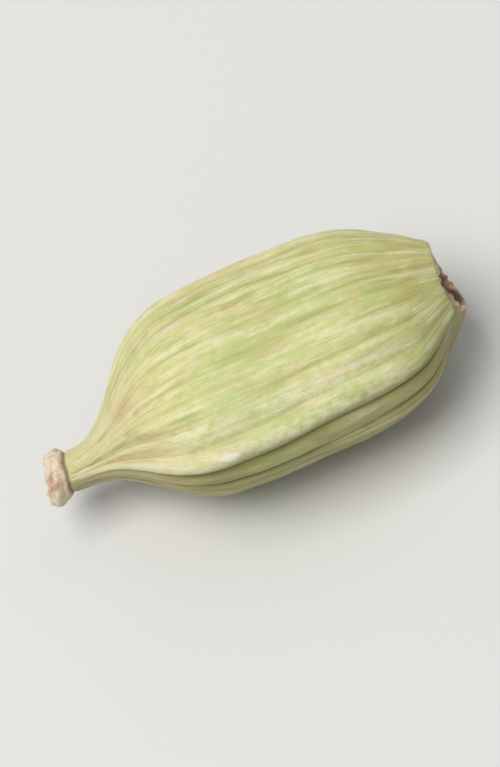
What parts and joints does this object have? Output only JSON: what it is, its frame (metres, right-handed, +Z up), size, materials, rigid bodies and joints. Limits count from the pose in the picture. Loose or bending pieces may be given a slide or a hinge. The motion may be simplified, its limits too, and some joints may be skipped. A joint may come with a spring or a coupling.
{
  "type": "green cardamom pod",
  "caption": "Dried closed seed pod: a plump three-cornered capsule with lengthwise ribs, a short bent beak with a dry collar, and a blunt end with a round stalk scar.",
  "frame": {"origin": "under the middle of the pod's box, on the surface that it lies on", "axes": "+X along the pod from its beak to its stalk scar, +Z up, -Y towards the side that the picture shows"},
  "size_m": [0.018, 0.0086, 0.0074],
  "materials": {
    "husk": "dry, fibrous plant husk, matt with a faint sheen on its ribs"
  },
  "bodies": {
    "root": {"pod": "husk"}
  },
  "joints": []
}
